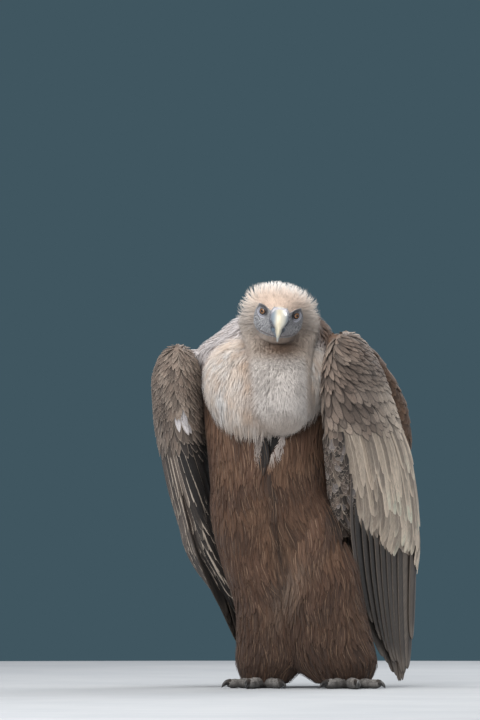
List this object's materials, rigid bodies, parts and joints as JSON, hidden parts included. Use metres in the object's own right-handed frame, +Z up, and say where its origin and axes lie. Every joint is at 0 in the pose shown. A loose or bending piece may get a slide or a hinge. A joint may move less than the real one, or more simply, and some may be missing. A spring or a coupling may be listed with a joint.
{
  "type": "griffon vulture model",
  "caption": "Life-size standing griffon vulture, hunched, with its neck folded into a pale ruff, drooping wings and a hooked bill, facing forwards.",
  "frame": {"origin": "on the ground, under the middle of the bird's bounding box", "axes": "+Z up; the face looks along -Y; the bird's own left side is on +X"},
  "size_m": [0.5108, 0.5592, 0.7695],
  "materials": {
    "down": "dense soft white down, matt",
    "body_feathers": "soft brown contour feathers with pale shaft streaks, matt",
    "wing_coverts": "rounded grey-brown coverts with pale edges, matt",
    "flight_feathers": "long stiff slate-black feathers, slight sheen",
    "bill": "pale horn, worn satin",
    "bare_skin": "wrinkled blue-grey bare skin",
    "eye": "wet amber-brown eye with a black pupil, opaque",
    "foot_scales": "grey scaled skin",
    "claw": "dark worn horn"
  },
  "bodies": {
    "root": {"eye_left": "eye", "eye_right": "eye", "cere": "bare_skin", "bill_upper": "bill", "bill_lower": "bill", "head": "down", "neck": "down", "ruff": "down", "trunk": "body_feathers", "thigh_left": "body_feathers", "thigh_right": "body_feathers", "wing_left_scapulars": "body_feathers", "wing_right_scapulars": "body_feathers", "wing_left_fold": "wing_coverts", "wing_right_fold": "wing_coverts", "wing_left_secondaries": "flight_feathers", "wing_left_primaries": "flight_feathers", "wing_right_secondaries": "flight_feathers", "wing_right_primaries": "flight_feathers", "tail": "flight_feathers", "foot_left": "foot_scales", "shank_left": "foot_scales", "toe_left_inner": "foot_scales", "toe_left_middle": "foot_scales", "toe_left_outer": "foot_scales", "toe_left_hind": "foot_scales", "foot_right": "foot_scales", "shank_right": "foot_scales", "toe_right_inner": "foot_scales", "toe_right_middle": "foot_scales", "toe_right_outer": "foot_scales", "toe_right_hind": "foot_scales", "claw_left_inner": "claw", "claw_left_middle": "claw", "claw_left_outer": "claw", "claw_left_hind": "claw", "claw_right_inner": "claw", "claw_right_middle": "claw", "claw_right_outer": "claw", "claw_right_hind": "claw"}
  },
  "joints": []
}
